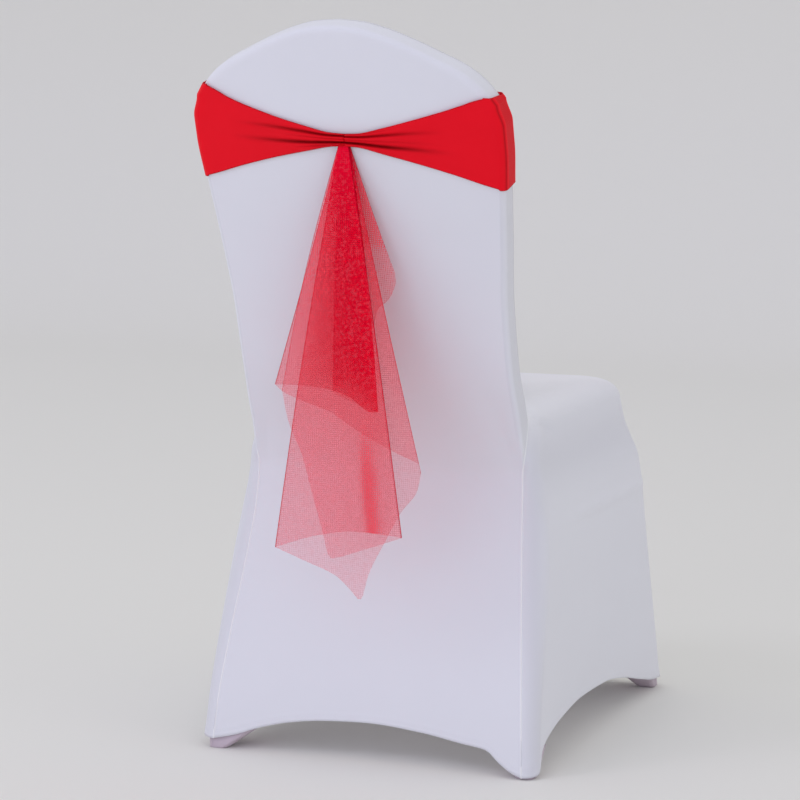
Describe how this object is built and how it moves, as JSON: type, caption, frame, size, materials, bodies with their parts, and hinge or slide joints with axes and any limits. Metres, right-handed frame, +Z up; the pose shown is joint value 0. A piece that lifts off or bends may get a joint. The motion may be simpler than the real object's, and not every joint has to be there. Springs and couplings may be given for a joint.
{
  "type": "chair cover with sash",
  "caption": "Fitted stretch cover for a crown-backed banquet chair, with foot pockets and a gathered sash whose sheer tail hangs down the back.",
  "frame": {"origin": "on the floor under the middle of the cover's width and depth, between the foot pockets", "axes": "+Z up, +Y towards the back that carries the gather and the tail, -Y the way the seat faces, +X the cover's left side"},
  "size_m": [0.4814, 0.6486, 0.941],
  "materials": {
    "cover_knit": "smooth white stretch knit, slightly satin",
    "pocket_cloth": "heavier plain cloth, matt",
    "sash_knit": "smooth red stretch knit, soft sheen",
    "tail_sheer": "sheer red organza, fine mesh"
  },
  "bodies": {
    "root": {"back_panel": "cover_knit", "seat_skirt": "cover_knit", "inside_back": "cover_knit", "pocket_rear_left": "pocket_cloth", "pocket_rear_right": "pocket_cloth", "pocket_front_left": "pocket_cloth", "pocket_front_right": "pocket_cloth", "sash": "sash_knit", "tail_long": "tail_sheer", "tail_short": "tail_sheer"}
  },
  "joints": []
}
